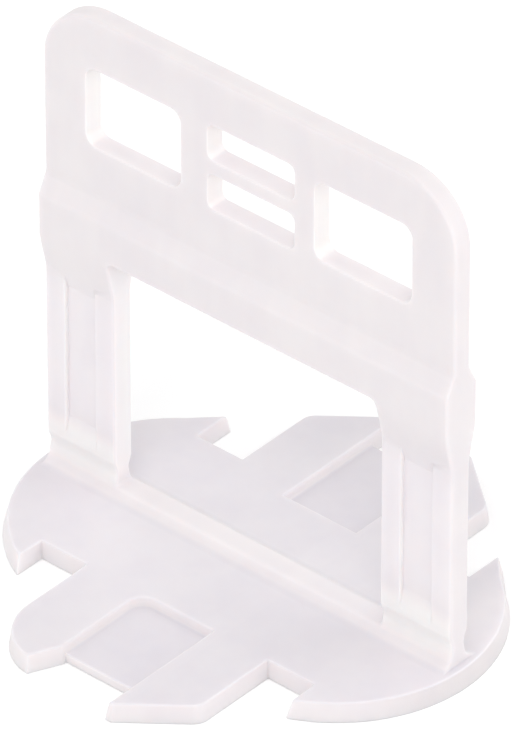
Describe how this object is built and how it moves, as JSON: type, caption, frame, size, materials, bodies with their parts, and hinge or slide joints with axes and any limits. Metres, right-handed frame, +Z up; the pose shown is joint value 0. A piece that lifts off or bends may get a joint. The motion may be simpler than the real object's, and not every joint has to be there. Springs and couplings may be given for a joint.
{
  "type": "tile levelling clip",
  "caption": "Break-off tile levelling clip: a flat frame with a wedge window and a holed head stands on a notched base plate with round ends and slanted arms.",
  "frame": {"origin": "on the underside of the base, midway between the legs", "axes": "+X across the legs, +Z up along them, -Y the front, the side with the one rounded arm"},
  "size_m": [0.042, 0.0414, 0.044],
  "materials": {
    "levelling_clip": "natural milky polypropylene, satin as moulded"
  },
  "bodies": {
    "root": {"levelling_clip": "levelling_clip"}
  },
  "joints": []
}
